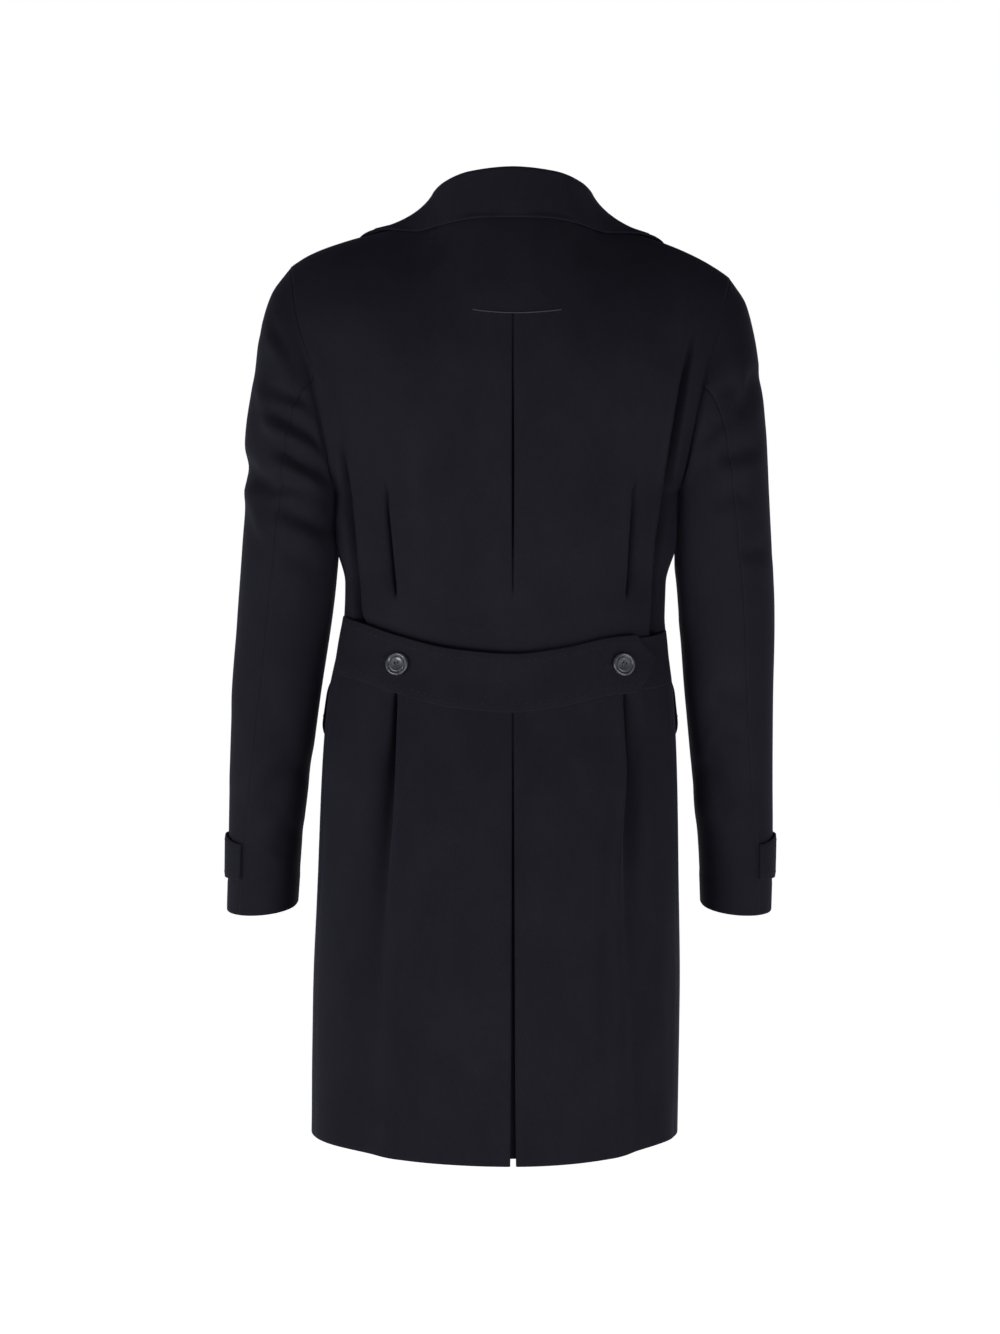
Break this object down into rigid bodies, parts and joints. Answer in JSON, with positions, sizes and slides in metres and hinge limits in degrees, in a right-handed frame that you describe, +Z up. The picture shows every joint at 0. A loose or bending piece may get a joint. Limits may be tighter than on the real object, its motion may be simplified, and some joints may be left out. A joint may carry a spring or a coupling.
{
  "type": "double-breasted coat",
  "caption": "Hollow knee-length double-breasted wool overcoat with a wide turned-down collar, half belt, inverted back pleat and patch pockets, worn over clothes.",
  "frame": {"origin": "on the centre line between the shoulders, 9 mm above the neck ends of the shoulder seams, where the coat is held when it is worn", "axes": "+Z up, -Y to the wearer's front, +X to the wearer's left"},
  "size_m": [0.5896, 0.321, 1.0241],
  "materials": {
    "navy_wool": "matte, close nap",
    "dark_horn": "satin"
  },
  "bodies": {
    "root": {"back": "navy_wool", "pleat_underlay": "navy_wool", "collar": "navy_wool", "half_belt_left": "navy_wool", "half_belt_right": "navy_wool", "front_left": "navy_wool", "lapel_left": "navy_wool", "top_sleeve_left": "navy_wool", "under_sleeve_left": "navy_wool", "cuff_strap_left": "navy_wool", "pocket_left": "navy_wool", "flap_left": "navy_wool", "front_right": "navy_wool", "lapel_right": "navy_wool", "top_sleeve_right": "navy_wool", "under_sleeve_right": "navy_wool", "cuff_strap_right": "navy_wool", "pocket_right": "navy_wool", "flap_right": "navy_wool", "belt_button_left": "dark_horn", "cuff_button_left": "dark_horn", "belt_button_right": "dark_horn", "cuff_button_right": "dark_horn", "front_button_left_1": "dark_horn", "front_button_left_2": "dark_horn", "front_button_left_3": "dark_horn", "front_button_right_1": "dark_horn", "front_button_right_2": "dark_horn", "front_button_right_3": "dark_horn"}
  },
  "joints": []
}
